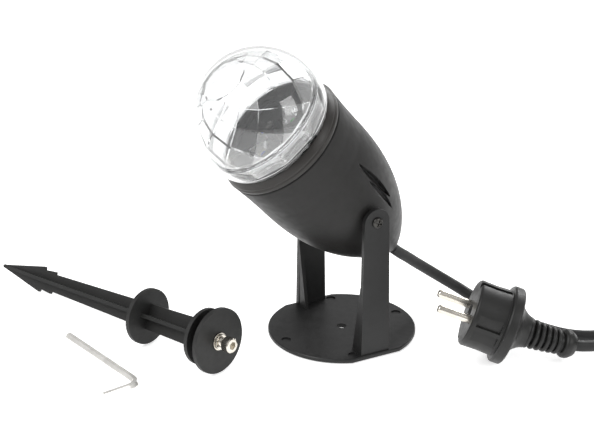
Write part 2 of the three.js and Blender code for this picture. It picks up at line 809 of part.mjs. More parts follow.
function plugBody() {
  const body = turned([
    [0, -33],
    [9.2, -33],
    [10.6, RELIEF_START],
    [13.5, -27.6],
    [18.5, -25.4],
    [PLUG_COLLAR_RADIUS - 0.6, -24.8],
    [PLUG_COLLAR_RADIUS, -22.6],
    [PLUG_COLLAR_RADIUS, -19.4],
    [PLUG_COLLAR_RADIUS - 0.6, -18.6],
    [PLUG_RADIUS, -18.4],
    [PLUG_RADIUS, -0.8],
    [PLUG_RADIUS - 0.8, 0],
    [0, 0],
  ], 36);
  const added = [reliefTube(5.2, 32, TAIL_END - 1, 5, 12)];
  for (let i = 0; i < RELIEF_RIBS; i++) {
    added.push(onRelief(rod(8.6 - i * 0.3, -0.95, 0.95, 16), 34.6 + i * RIB_PITCH));
  }
  const knob = turned([[0, -3.6], [6.2, -3.6], [8.2, -0.4], [8.2, 2], [7, 3.2], [0, 3.2]], 16);
  added.push(onRelief(knob, KNOB_PLACE));
  const removed = [reliefTube(CORD_RADIUS + GAP, 46, TAIL_END + 2, 3, 10)];
  for (const side of [-1, 1]) {
    const pinHole = rod(PIN_RADIUS + GAP, -12, 1, 12);
    pinHole.translate(0, side * PIN_SPACING / 2, 0);
    removed.push(pinHole);
    removed.push(block(3.2, 5.6, -17.6, 1, side * (PLUG_RADIUS - 0.2), 0));
    removed.push(block(10, 3, -16, -3, 5.6, side * PLUG_RADIUS));
    removed.push(block(10, 3, -16, -3, -5.6, side * PLUG_RADIUS));
  }
  return combine(body, added, removed);
}
piece('plug_body', plugBody(), rubber, plug);
for (const [label, side] of [['a', -1], ['b', 1]]) {
  const pin = turned([
    [0, -11.5],
    [PIN_RADIUS, -11.5],
    [PIN_RADIUS, PIN_LENGTH - 1.6],
    [PIN_RADIUS * 0.8, PIN_LENGTH - 0.5],
    [PIN_RADIUS * 0.4, PIN_LENGTH],
    [0, PIN_LENGTH],
  ], 20);
  pin.translate(0, side * PIN_SPACING / 2, 0);
  piece(`plug_pin_${label}`, pin, nickel, plug);
}

// ---------------------------------------------------------------- cord
const RUN_ROUTE = [
  [0, 32.8, 44.4],
  [-1.2, 38.2, 39.7],
  [-2.5, 43.5, 35.6],
  [-4.2, 51.4, 29.2],
  [-5.2, 59.7, 22.7],
  [-5.1, 67.7, 16.5],
  [-3.1, 75, 11],
  [1.1, 80.2, 7.2],
  [6.9, 83.4, 4.8],
  [14.1, 85.4, 3.6],
  [25.6, 87.6, 3.3],
  [40.9, 91.7, 3.3],
  [59.5, 98.5, 3.3],
  [70.8, 105.1, 3.3],
  [77.6, 112.4, 3.3],
  [81.3, 119.8, 3.3],
  [83.6, 127.5, 3.3],
  [85.5, 136.8, 3.3],
  [85.8, 146.9, 3.3],
  [84.2, 161.3, 3.3],
  [83.8, 165.5, 3.3],
];
const TAIL_ROUTE = [
  [91.6, 96.1, 7.7],
  [92.8, 102, 6.3],
  [93.5, 109, 5.1],
  [95, 115.5, 4.2],
  [97.6, 122.1, 3.6],
  [100.4, 127.8, 3.3],
  [104.7, 132.6, 3.3],
  [109.8, 136.1, 3.6],
  [115.8, 138.3, 4.4],
  [120.8, 139.6, 5.4],
];
piece('cord_run', tube(RUN_ROUTE, CORD_RADIUS, 40, 8), rubber, lamp);
piece('cord_tail', tube(TAIL_ROUTE, CORD_RADIUS, 12, 8), rubber, lamp);

const coil = piece('cord_coil', turned([
  [COIL_INNER + 2, COIL_BASE],
  [COIL_OUTER - 2, COIL_BASE],
  [COIL_OUTER, COIL_BASE + 2],
  [COIL_OUTER, COIL_BASE + COIL_HEIGHT - 3],
  [COIL_OUTER - 3, COIL_BASE + COIL_HEIGHT],
  [COIL_INNER + 3, COIL_BASE + COIL_HEIGHT],
  [COIL_INNER, COIL_BASE + COIL_HEIGHT - 3],
  [COIL_INNER, COIL_BASE + 2],
], 36), rubber, lamp);
coil.position.set(COIL_CENTRE[0], COIL_CENTRE[1], 0);

function tieLoop() {
  const inner = COIL_INNER - 0.8;
  const outer = COIL_OUTER + GAP;
  const low = COIL_BASE - GAP;
  const high = COIL_BASE + COIL_HEIGHT + GAP;
  const t = TIE_THICKNESS;
  const outline = [[inner - t, low - t], [outer + t, low - t], [outer + t, high + t], [inner - t, high + t]];
  const opening = [[inner, low], [inner, high], [outer, high], [outer, low]];
  const shape = new THREE.Shape(outline.map((p) => new THREE.Vector2(...p)));
  shape.holes.push(new THREE.Path(opening.map((p) => new THREE.Vector2(...p))));
  const loop = plate(shape, -TIE_WIDTH / 2, TIE_WIDTH / 2);
  loop.rotateX(Math.PI / 2);
  return loop;
}
const tie = piece('coil_tie', tieLoop(), whiteBoard, lamp);
tie.position.set(COIL_CENTRE[0], COIL_CENTRE[1], 0);
tie.rotation.z = rad(TIE_ANGLE);

export default lamp;
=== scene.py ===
# The visible model of a garden light projector, over its CAD solids and in their frame. Profiles,
# outlines and routes are in millimetres, and piece() scales them.
import math
import bmesh
import bpy
from mathutils import Matrix, Vector
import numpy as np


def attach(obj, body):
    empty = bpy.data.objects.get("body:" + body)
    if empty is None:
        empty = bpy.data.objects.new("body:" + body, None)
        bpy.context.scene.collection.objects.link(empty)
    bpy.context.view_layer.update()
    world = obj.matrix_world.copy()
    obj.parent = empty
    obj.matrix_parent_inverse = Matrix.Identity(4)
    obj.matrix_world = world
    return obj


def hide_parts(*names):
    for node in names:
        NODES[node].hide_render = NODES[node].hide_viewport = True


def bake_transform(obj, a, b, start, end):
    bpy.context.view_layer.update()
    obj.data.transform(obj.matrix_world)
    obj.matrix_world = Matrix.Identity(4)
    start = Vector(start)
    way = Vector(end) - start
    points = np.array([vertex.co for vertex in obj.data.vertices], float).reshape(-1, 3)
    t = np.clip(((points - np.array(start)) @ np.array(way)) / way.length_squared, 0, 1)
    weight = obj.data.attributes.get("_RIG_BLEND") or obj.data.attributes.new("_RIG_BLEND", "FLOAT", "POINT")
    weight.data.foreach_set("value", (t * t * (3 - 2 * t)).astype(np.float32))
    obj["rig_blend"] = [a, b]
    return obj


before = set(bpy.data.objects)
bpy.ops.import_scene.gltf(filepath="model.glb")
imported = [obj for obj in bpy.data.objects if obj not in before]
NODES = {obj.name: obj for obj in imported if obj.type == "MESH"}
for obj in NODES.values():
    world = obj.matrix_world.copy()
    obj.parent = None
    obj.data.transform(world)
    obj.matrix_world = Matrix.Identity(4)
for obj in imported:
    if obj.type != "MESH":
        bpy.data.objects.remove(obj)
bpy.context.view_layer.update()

MM = 0.001

# ------------------------------------------------------------------ places
def turn(degrees, axis):
    return Matrix.Rotation(math.radians(degrees), 4, axis)


# The lamp head's own frame: its axis is Z, and the pivot is at its origin.
HEAD_TILT = 41.3
PIVOT_HEIGHT = 81.7
HEAD = Matrix.Translation((0, 0, PIVOT_HEIGHT)) @ turn(HEAD_TILT, "X")

# The plug's own frame: the pins point along Z, from the middle of its face.
PLUG_FACE = (64.3, 44.3, 28.9)
PLUG_YAW = 237.6
PLUG_LEAN = 70
PLUG = Matrix.Translation(PLUG_FACE) @ turn(PLUG_YAW, "Z") @ turn(PLUG_LEAN, "Y")

# The stake's own frame: Z points out of its large disc. It lies on both discs, so it is pitched a little.
LARGE_DISC_RADIUS = 18.65
SMALL_DISC_RADIUS = 16.1
DISC_SPACING = 53.8
FLOOR_GAP = 0.3
SPIKE_SPOT = (12.6, -84.3)
SPIKE_YAW = 20.4
SPIKE_PITCH = math.asin((LARGE_DISC_RADIUS - SMALL_DISC_RADIUS) / DISC_SPACING)
SPIKE_HEIGHT = LARGE_DISC_RADIUS * math.cos(SPIKE_PITCH) + FLOOR_GAP
SPIKE = (Matrix.Translation((*SPIKE_SPOT, SPIKE_HEIGHT)) @ turn(SPIKE_YAW, "Z")
         @ Matrix.Rotation(-SPIKE_PITCH, 4, "Y") @ turn(90, "Y"))


# ------------------------------------------------------------------ camera, floor and light
CAMERA_PLACE = (0.9728, -0.5594, 0.5690)
CAMERA_YAW = 61.4
CAMERA_PITCH = 65.88
VIEW_RIGHT = (0.4787, 0.8780)
LIGHT_AIM = 0.08
FLOOR_HALF = 4.0
FLOOR_DROP = 0.0005


def look_at(position, target):
    direction = Vector(target) - Vector(position)
    return direction.to_track_quat("-Z", "Y").to_euler()


def make_camera():
    data = bpy.data.cameras.new("camera")
    camera = bpy.data.objects.new("camera", data)
    bpy.context.scene.collection.objects.link(camera)
    camera.location = CAMERA_PLACE
    camera.rotation_euler = (math.radians(CAMERA_PITCH), 0, math.radians(CAMERA_YAW))
    data.sensor_width = 36
    data.lens = 133.3
    data.clip_start = 0.01
    data.clip_end = 20
    bpy.context.scene.camera = camera


# A place given as distances to the right of the camera's view, towards the camera, and up.
def beside_view(right, towards, up):
    x, y = VIEW_RIGHT
    return (x * right + y * towards, y * right - x * towards, up)


def softbox(name, place, size, power):
    data = bpy.data.lights.new(name, "AREA")
    data.shape = "RECTANGLE"
    data.size, data.size_y = size
    data.energy = power
    light = bpy.data.objects.new(name, data)
    bpy.context.scene.collection.objects.link(light)
    light.location = beside_view(*place)
    light.rotation_euler = look_at(light.location, (0, 0, LIGHT_AIM))


# The world is pure white to the camera and through clear parts, and dimmer as a light.
def make_world():
    scene = bpy.context.scene
    scene.view_settings.view_transform = "Standard"
    world = bpy.data.worlds.new("studio")
    scene.world = world
    world.use_nodes = True
    tree = world.node_tree
    background = tree.nodes["Background"]
    background.inputs["Color"].default_value = (1, 1, 1, 1)
    background.inputs["Strength"].default_value = 0.5
    bright = tree.nodes.new("ShaderNodeBackground")
    bright.inputs["Color"].default_value = (1, 1, 1, 1)
    bright.inputs["Strength"].default_value = 1.0
    path = tree.nodes.new("ShaderNodeLightPath")
    mix = tree.nodes.new("ShaderNodeMixShader")
    seen = tree.nodes.new("ShaderNodeMath")
    seen.operation = "MAXIMUM"
    tree.links.new(path.outputs["Is Camera Ray"], seen.inputs[0])
    tree.links.new(path.outputs["Is Transmission Ray"], seen.inputs[1])
    tree.links.new(seen.outputs["Value"], mix.inputs["Fac"])
    tree.links.new(background.outputs["Background"], mix.inputs[1])
    tree.links.new(bright.outputs["Background"], mix.inputs[2])
    tree.links.new(mix.outputs["Shader"], tree.nodes["World Output"].inputs["Surface"])


def make_floor():
    mesh = bpy.data.meshes.new("studio_floor")
    corners = [(x * FLOOR_HALF, y * FLOOR_HALF, 0) for x, y in ((-1, -1), (1, -1), (1, 1), (-1, 1))]
    mesh.from_pydata(corners, [], [(0, 1, 2, 3)])
    floor = bpy.data.objects.new("studio_floor", mesh)
    bpy.context.scene.collection.objects.link(floor)
    floor.location.z = -FLOOR_DROP
    material, shader, _ = new_material("studio_paper")
    shader.inputs["Base Color"].default_value = (0.93, 0.93, 0.93, 1)
    shader.inputs["Roughness"].default_value = 0.9
    shader.inputs["Specular IOR Level"].default_value = 0.1
    shader.inputs["Emission Color"].default_value = (1, 1, 1, 1)
    shader.inputs["Emission Strength"].default_value = 0.6
    mesh.materials.append(material)


def make_studio():
    make_world()
    softbox("key_softbox", (-0.9, 0.5, 1.2), (0.9, 0.9), 14)
    softbox("fill_softbox", (1.2, 0.8, 0.9), (0.7, 0.7), 7)
    softbox("rim_softbox", (0.7, -1.1, 0.8), (0.8, 0.5), 9)
    make_floor()


# ------------------------------------------------------------------ materials
def new_material(name):
    material = bpy.data.materials.new(name)
    material.use_nodes = True
    tree = material.node_tree
    return material, tree.nodes["Principled BSDF"], tree


def noise(tree, scale, detail=3.0):
    place = tree.nodes.new("ShaderNodeTexCoord")
    texture = tree.nodes.new("ShaderNodeTexNoise")
    texture.inputs["Scale"].default_value = scale
    texture.inputs["Detail"].default_value = detail
    tree.links.new(place.outputs["Object"], texture.inputs["Vector"])
    return texture.outputs["Fac"]


# Stretches the middle of a noise's range, where nearly all of it is, to run from low to high.
def spread(tree, value, low, high):
    ranged = tree.nodes.new("ShaderNodeMapRange")
    ranged.inputs["From Min"].default_value = 0.3
    ranged.inputs["From Max"].default_value = 0.7
    ranged.inputs["To Min"].default_value = low
    ranged.inputs["To Max"].default_value = high
    tree.links.new(value, ranged.inputs["Value"])
    return ranged.outputs["Result"]


def blend_colours(tree, value, first, second):
    mix = tree.nodes.new("ShaderNodeMix")
    mix.data_type = "RGBA"
    tree.links.new(value, mix.inputs["Factor"])
    mix.inputs["A"].default_value = (*first, 1)
    mix.inputs["B"].default_value = (*second, 1)
    return mix.outputs["Result"]


def add_bump(tree, shader, height, depth, strength=1.0):
    bump = tree.nodes.new("ShaderNodeBump")
    bump.inputs["Strength"].default_value = strength
    bump.inputs["Distance"].default_value = depth
    tree.links.new(height, bump.inputs["Height"])
    tree.links.new(bump.outputs["Normal"], shader.inputs["Normal"])


# Moulded plastic or rubber: fine grain in its surface, slow drift in its colour and gloss.
def moulded(name, colour, rough, grain=1800, depth=0.00002, drift=0.16, specular=0.45):
    material, shader, tree = new_material(name)
    light = tuple(c * (1 + drift) for c in colour)
    dark = tuple(c * (1 - drift) for c in colour)
    tone = spread(tree, noise(tree, 45), 0, 1)
    tree.links.new(blend_colours(tree, tone, dark, light), shader.inputs["Base Color"])
    tree.links.new(spread(tree, noise(tree, 260), rough - 0.05, rough + 0.06), shader.inputs["Roughness"])
    shader.inputs["Specular IOR Level"].default_value = specular
    add_bump(tree, shader, noise(tree, grain, 2.0), depth, 0.6)
    return material


# Bare or plated metal: its gloss varies finely, its colour slowly.
def metallic(name, colour, rough, scale=700, metal=1.0):
    material, shader, tree = new_material(name)
    light = tuple(min(1, c * 1.08) for c in colour)
    dark = tuple(c * 0.86 for c in colour)
    shader.inputs["Metallic"].default_value = metal
    tone = spread(tree, noise(tree, 180), 0, 1)
    tree.links.new(blend_colours(tree, tone, dark, light), shader.inputs["Base Color"])
    grain = noise(tree, scale, 2.0)
    tree.links.new(spread(tree, grain, rough * 0.75, rough * 1.35), shader.inputs["Roughness"])
    add_bump(tree, shader, grain, 0.000008, 0.4)
    return material


# Clear plastic, with a faint cloudiness and a few soft flow marks.
def clear_plastic(name, tint, rough, ior, wave=0.00001):
    material, shader, tree = new_material(name)
    dull = tuple(c * 0.985 for c in tint)
    tone = spread(tree, noise(tree, 70), 0, 1)
    tree.links.new(blend_colours(tree, tone, dull, tint), shader.inputs["Base Color"])
    tree.links.new(spread(tree, noise(tree, 300), rough, rough + 0.03), shader.inputs["Roughness"])
    shader.inputs["Transmission Weight"].default_value = 1
    shader.inputs["IOR"].default_value = ior
    add_bump(tree, shader, noise(tree, 90, 1.0), wave, 0.3)
    return material


def circuit_board_material():
    material, shader, tree = new_material("circuit_board_green")
    grid = tree.nodes.new("ShaderNodeTexBrick")
    grid.inputs["Scale"].default_value = 420
    grid.inputs["Color1"].default_value = (0.02, 0.11, 0.035, 1)
    grid.inputs["Color2"].default_value = (0.03, 0.16, 0.05, 1)
    grid.inputs["Mortar"].default_value = (0.06, 0.24, 0.08, 1)
    place = tree.nodes.new("ShaderNodeTexCoord")
    tree.links.new(place.outputs["Object"], grid.inputs["Vector"])
    tree.links.new(grid.outputs["Color"], shader.inputs["Base Color"])
    tree.links.new(spread(tree, noise(tree, 400), 0.3, 0.5), shader.inputs["Roughness"])
    return material


# The housing's plastic has painted shade in its slots: its colour is mixed towards near black by the
# slot_depth share.
def housing_material():
    material = moulded("housing_plastic", (0.0115, 0.011, 0.0105), 0.44, 1500, 0.000018, 0.1, 0.27)
    tree = material.node_tree
    shader = tree.nodes["Principled BSDF"]
    colour = shader.inputs["Base Color"].links[0].from_socket
    slot_depth = tree.nodes.new("ShaderNodeAttribute")
    slot_depth.attribute_name = "slot_depth"
    mix = tree.nodes.new("ShaderNodeMix")
    mix.data_type = "RGBA"
    tree.links.new(slot_depth.outputs["Fac"], mix.inputs["Factor"])
    tree.links.new(colour, mix.inputs["A"])
    # Painted shade: the near-black colour put inside the slots.
    mix.inputs["B"].default_value = (0.002, 0.002, 0.002, 1)
    tree.links.new(mix.outputs["Result"], shader.inputs["Base Color"])
    return material


# The crystal's facets are clear or a little milky, each one evenly, and milky facets also glow, a painted
# glow that stands in for reflected light: a share set for each facet says how much.
def crystal_material():
    material = clear_plastic("crystal_acrylic", (0.985, 0.988, 0.992), 0.0, 1.5, 0.000002)
    tree = material.node_tree
    haze_and_glow = tree.nodes.new("ShaderNodeAttribute")
    haze_and_glow.attribute_name = "facet_haze_and_glow"
    clear = tree.nodes.new("ShaderNodeMath")
    clear.operation = "SUBTRACT"
    clear.inputs[0].default_value = 1
    tree.links.new(haze_and_glow.outputs["Fac"], clear.inputs[1])
    shader = tree.nodes["Principled BSDF"]
    tree.links.new(clear.outputs["Value"], shader.inputs["Transmission Weight"])
    # Painted glow: a milky facet emits a near-white light, though the crystal is no lamp.
    painted_glow = tree.nodes.new("ShaderNodeMath")
    painted_glow.operation = "MULTIPLY"
    painted_glow.inputs[1].default_value = 0.5
    tree.links.new(haze_and_glow.outputs["Fac"], painted_glow.inputs[0])
    tree.links.new(painted_glow.outputs["Value"], shader.inputs["Emission Strength"])
    shader.inputs["Emission Color"].default_value = (1, 0.99, 0.97, 1)
    return material


# A moulded material's values are its colour and roughness and, where they aren't moulded()'s own, the scale
# and depth of its grain, the drift of its colour and its specular level.
HOUSING = housing_material()
BEZEL = moulded("bezel_plastic", (0.024, 0.022, 0.020), 0.4, 1500, 0.000015, 0.12, 0.32)
BRACKET = moulded("bracket_plastic", (0.014, 0.014, 0.014), 0.42, 1300, 0.00003, 0.14, 0.3)
STAKE = moulded("stake_plastic", (0.018, 0.018, 0.0175), 0.5, 1100, 0.00004, 0.16, 0.32)
RUBBER = moulded("plug_rubber", (0.014, 0.014, 0.0135), 0.42, 1600, 0.000025, 0.12, 0.34)
CORD = moulded("cord_sheath", (0.017, 0.017, 0.017), 0.48, 1200, 0.00003, 0.15, 0.32)
SEAL = moulded("seal_rubber", (0.01, 0.01, 0.01), 0.7, 900, 0.00003)
WHITE = moulded("white_plastic", (0.72, 0.72, 0.69), 0.45, 1400, 0.00002, 0.04)
DECK = moulded("deck_plastic", (0.006, 0.006, 0.0065), 0.6, 1000, 0.00003, 0.1, 0.15)
BROWN = moulded("brown_insulation", (0.16, 0.06, 0.025), 0.5)
BLUE = moulded("blue_insulation", (0.02, 0.07, 0.32), 0.45)
RED = moulded("red_insulation", (0.45, 0.03, 0.025), 0.45)
CLEAR = clear_plastic("cover_acrylic", (0.985, 0.99, 0.992), 0.0, 1.45)
CRYSTAL = crystal_material()
LENS = clear_plastic("collimator_acrylic", (0.98, 0.985, 0.99), 0.03, 1.49)
NICKEL = metallic("nickel_plate", (0.74, 0.70, 0.63), 0.2, 900)
CHROME = metallic("key_plating", (0.93, 0.91, 0.87), 0.2, 900, metal=0.7)
DARK_STEEL = metallic("dark_zinc", (0.06, 0.058, 0.055), 0.3)
ALUMINIUM = metallic("cast_aluminium", (0.66, 0.66, 0.67), 0.4, 500)
BOARD = circuit_board_material()


# ------------------------------------------------------------------ mesh helpers
def shade(mesh, angle=35):
    mesh.shade_smooth()
    mesh.set_sharp_from_angle(angle=math.radians(angle))


# Makes an object from millimetre points and places it. Given a body, it is settled on it too.
def piece(name, verts, faces, material, body, place=Matrix(), angle=35, stands_for=()):
    mesh = bpy.data.meshes.new(name)
    mesh.from_pydata([tuple(place @ Vector(v) * MM) for v in verts], [], faces)
    mesh.materials.append(material)
    obj = bpy.data.objects.new(name, mesh)
    bpy.context.scene.collection.objects.link(obj)
    tidy(mesh)
    shade(mesh, angle)
    if body:
        settle(obj, body, stands_for)
    return obj


# Merges doubled points and turns all faces outwards.
def tidy(mesh):
    bm = bmesh.new()
    bm.from_mesh(mesh)
    bmesh.ops.remove_doubles(bm, verts=bm.verts, dist=1e-7)
    bmesh.ops.recalc_face_normals(bm, faces=bm.faces)
    bm.to_mesh(mesh)
    bm.free()


# Puts an object on the body it rides on, and hides the CAD nodes it stands for.
def settle(obj, body, stands_for=()):
    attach(obj, body)
    if stands_for:
        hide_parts(*stands_for)


# Turns a profile of (radius, height) points round Z. A closed profile makes a ring.
def lathe_mesh(profile, sides=96, closed=False, angles=None):
    turns = angles or [2 * math.pi * i / sides for i in range(sides)]
    verts, rows = [], []
    for radius, height in profile:
        if radius < 1e-6:
            rows.append([len(verts)])
            verts.append((0, 0, height))
            continue
        rows.append(list(range(len(verts), len(verts) + len(turns))))
        verts.extend((radius * math.cos(a), radius * math.sin(a), height) for a in turns)
    if closed:
        rows.append(rows[0])
    faces = []
    for low, high in zip(rows, rows[1:]):
        faces.extend(band(low, high, len(turns)))
    return verts, faces


# The faces between two rows of points; a row of one point is a tip on the axis.
def band(low, high, count):
    faces = []
    for i in range(count):
        j = (i + 1) % count
        if len(low) == 1 and len(high) == 1:
            continue
        if len(low) == 1:
            faces.append((low[0], high[j], high[i]))
        elif len(high) == 1:
            faces.append((low[i], low[j], high[0]))
        else:
            faces.append((low[i], low[j], high[j], high[i]))
    return faces


# Rounds the corners of an outline. Each point is (radius, height) or (radius, height, fillet).
def rounded(points, steps=4):
    out = []
    count = len(points)
    for i, point in enumerate(points):
        if len(point) < 3 or i in (0, count - 1):
            out.append(point[:2])
            continue
        here = Vector(point[:2])
        before = Vector(points[i - 1][:2]) - here
        after = Vector(points[i + 1][:2]) - here
        reach = min(point[2], before.length * 0.49, after.length * 0.49)
        start = here + before.normalized() * reach
        end = here + after.normalized() * reach
        for k in range(steps + 1):
            t = k / steps
            out.append(tuple(start * (1 - t) ** 2 + here * 2 * t * (1 - t) + end * t ** 2))
    return out


def turned(name, points, material, body, place, sides=96, closed=False, angle=35,
           stands_for=()):
    verts, faces = lathe_mesh(rounded(points), sides, closed)
    return piece(name, verts, faces, material, body, place, angle, stands_for)


def apply_modifiers(obj):
    graph = bpy.context.evaluated_depsgraph_get()
    mesh = bpy.data.meshes.new_from_object(obj.evaluated_get(graph))
    obj.modifiers.clear()
    obj.data = mesh


def cut(obj, cutters):
    for tool in cutters:
        modifier = obj.modifiers.new("cut", "BOOLEAN")
        modifier.operation = "DIFFERENCE"
        modifier.solver = "EXACT"
        modifier.object = tool
    apply_modifiers(obj)
    for tool in cutters:
        bpy.data.objects.remove(tool)


def soften(obj, width, segments=2, limit=35):
    modifier = obj.modifiers.new("edge", "BEVEL")
    modifier.width = width * MM
    modifier.segments = segments
    modifier.limit_method = "ANGLE"
    modifier.angle_limit = math.radians(limit)
    modifier.harden_normals = True


# A finer copy of a CAD node. Its facets are merged into faces and its edges are rounded. The normals stored
# with the facets are dropped, because they don't fit the new edges.
def refined(name, node, material, body, bevel=0.3, angle=32, segments=2):
    bm = bmesh.new()
    bm.from_mesh(NODES[node].data)
    bmesh.ops.remove_doubles(bm, verts=bm.verts, dist=3e-6)
    bmesh.ops.dissolve_limit(bm, angle_limit=math.radians(1.5), verts=bm.verts, edges=bm.edges)
    bmesh.ops.recalc_face_normals(bm, faces=bm.faces)
    for layer in list(bm.loops.layers.float_vector):
        bm.loops.layers.float_vector.remove(layer)
    mesh = bpy.data.meshes.new(name)
    bm.to_mesh(mesh)
    bm.free()
    for stored in [a.name for a in mesh.attributes if "normal" in a.name]:
        mesh.attributes.remove(mesh.attributes[stored])
    mesh.materials.clear()
    mesh.materials.append(material)
    obj = bpy.data.objects.new(name, mesh)
    bpy.context.scene.collection.objects.link(obj)
    shade(mesh, angle)
    if bevel:
        soften(obj, bevel, segments, angle)
    settle(obj, body, (node,))
    return obj


# Cutters are removed once they have cut, so they have no body, and their material doesn't matter.
def cutter(verts, faces, place, angle=35):
    return piece("cutter", verts, faces, HOUSING, None, place, angle)


def box_cutter(size, centre, place):
    half = [s / 2 for s in size]
    signs = [(x, y, z) for x in (-1, 1) for y in (-1, 1) for z in (-1, 1)]
    verts = [tuple(centre[k] + s[k] * half[k] for k in range(3)) for s in signs]
    faces = [(0, 1, 3, 2), (4, 6, 7, 5), (0, 4, 5, 1), (2, 3, 7, 6), (0, 2, 6, 4), (1, 5, 7, 3)]
    return cutter(verts, faces, place)


# ------------------------------------------------------------------ cord
CORD_RADIUS = 3.2
CORD_POINT_SPACING = 4

# The coil spirals in on its lower layer, climbs, and spirals out on its upper one. Angles are in degrees.
COIL_CENTRE = (136.1, 201.5)
COIL_OUT = 56.75
COIL_PITCH = 6.5
COIL_LOW = 4.7
COIL_HIGH = 11.2
COIL_ENTRY = 186.2
COIL_SWEEP = 262 + 360 * 9
COIL_CLIMB = 120
POINTS_PER_TURN = 20

# The parts of the route that aren't coiled: from the lamp to the coil, and from the coil to the plug.
RUN_ROUTE = [
    (0, 32.8, 44.4), (-1.2, 38.2, 39.7), (-2.5, 43.5, 35.6), (-4.2, 51.4, 29.2), (-5.2, 59.7, 22.7),
    (-5.1, 67.7, 16.5), (-3.1, 75, 11), (1.1, 80.2, 7.2), (6.9, 83.4, 4.8), (14.1, 85.4, 3.6),
    (25.6, 87.6, 3.3), (40.9, 91.7, 3.3), (59.5, 98.5, 3.3), (70.8, 105.1, 3.3), (77.6, 112.4, 3.3),
    (81.3, 119.8, 3.3), (83.6, 127.5, 3.3), (85.5, 136.8, 3.3), (85.8, 146.9, 3.3), (84.2, 161.3, 3.3),
    (82.4, 177.1, 4),
]
TAIL_ROUTE = [
    (150, 146.5, 11.2), (137.4, 143.8, 9.3), (126, 140.9, 6.4), (115.8, 138.3, 4.4),
    (109.8, 136.1, 3.6), (104.7, 132.6, 3.3), (100.4, 127.8, 3.3), (97.6, 122.1, 3.6), (95, 115.5, 4.2),
    (93.5, 109, 5.1), (92.8, 102, 6.3), (91.6, 96.1, 7.7), (90.9, 93.1, 8.8), (89.7, 89.8, 10),
]


def smoothstep(value):
    value = min(1, max(0, value))
    return value * value * (3 - 2 * value)


def coil_points():
    centre = Vector((*COIL_CENTRE, 0))
    half = COIL_SWEEP / 2
    inner = COIL_OUT - COIL_PITCH * half / 360
    points = []
    steps = POINTS_PER_TURN * COIL_SWEEP // 360
    for i in range(steps + 1):
        turned_by = COIL_SWEEP * i / steps
        angle = math.radians(COIL_ENTRY - turned_by)
        from_middle = abs(turned_by - half) / half
        radius = inner + (COIL_OUT - inner) * from_middle
        climbed = (turned_by - half + COIL_CLIMB / 2) / COIL_CLIMB
        height = COIL_LOW + (COIL_HIGH - COIL_LOW) * smoothstep(climbed)
        points.append(centre + Vector((radius * math.cos(angle), radius * math.sin(angle), height)))
    return points


# A smooth curve through the points, sampled at about the given spacing (a centripetal Catmull-Rom spline).
def smooth_route(points, spacing):
    points = [Vector(p) for p in points]
    ends = [points[0] * 2 - points[1], *points, points[-1] * 2 - points[-2]]
    out = [points[0]]
    for corners in zip(ends, ends[1:], ends[2:], ends[3:]):
        knots = [0]
        for p, q in zip(corners, corners[1:]):
            knots.append(knots[-1] + max((q - p).length, 1e-6) ** 0.5)
        steps = max(1, round((corners[2] - corners[1]).length / spacing))
        for k in range(1, steps + 1):
            out.append(catmull_rom(corners, knots, knots[1] + (knots[2] - knots[1]) * k / steps))
    return out


# The point at knot t of the spline's stretch between the middle two of four corners.
def catmull_rom(corners, knots, t):
    def between(p, q, start, end):
        return p * ((end - t) / (end - start)) + q * ((t - start) / (end - start))

    a, b, c = (between(corners[i], corners[i + 1], knots[i], knots[i + 1]) for i in range(3))
    return between(between(a, b, knots[0], knots[2]), between(b, c, knots[1], knots[3]), knots[1], knots[2])


# A capped tube along a path, whose rings turn with it without twisting.
def tube_mesh(path, radius, sides=14):
    verts, faces = [], []
    side = Vector((1, 0, 0))
    for i, point in enumerate(path):
        before = path[max(i - 1, 0)]
        after = path[min(i + 1, len(path) - 1)]
        along = (after - before).normalized()
        side = (side - along * side.dot(along)).normalized()
        up = along.cross(side)
        for k in range(sides):
            angle = 2 * math.pi * k / sides
            verts.append(point + side * radius * math.cos(angle) + up * radius * math.sin(angle))
    for i in range(len(path) - 1):
        for k in range(sides):
            j = (k + 1) % sides
            a, b = i * sides, (i + 1) * sides
            faces.append((a + k, a + j, b + j, b + k))
    faces.append(tuple(reversed(range(sides))))
    faces.append(tuple(range((len(path) - 1) * sides, len(path) * sides)))
    return verts, faces


def make_cord(coil_pieces):
    route = smooth_route([*RUN_ROUTE, *coil_points(), *TAIL_ROUTE[1:]], CORD_POINT_SPACING)
    verts, faces = tube_mesh(route, CORD_RADIUS)
    cord = piece("mains_cord", verts, faces, CORD, None)
    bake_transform(cord, "head", "base", start=(0, 0.0328, 0.0444), end=(0.0011, 0.0802, 0.0072))
    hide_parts("cord_run", "cord_tail", "cord_coil")


# ------------------------------------------------------------------ plug
PIN_HALF_SPACING = 9.5
RELIEF_START = -31
RELIEF_BEND = 106
RELIEF_CORE_RADIUS = 5.4
RELIEF_CORE_PLACES = range(32, 61, 2)
RELIEF_END = 58
RIB_COUNT = 6
RIB_START = 34.6
RIB_SPACING = 3.4


# A place along the plug's bend relief, which curves away behind the plug.
def relief_place(distance):
    angle = (distance + RELIEF_START) / RELIEF_BEND
    shift = Vector((0, -RELIEF_BEND * (1 - math.cos(angle)), RELIEF_START - RELIEF_BEND * math.sin(angle)))
    return PLUG @ Matrix.Translation(shift) @ Matrix.Rotation(-angle, 4, "X")


def pin_place(side):
    return PLUG @ Matrix.Translation((0, side * PIN_HALF_SPACING, 0))


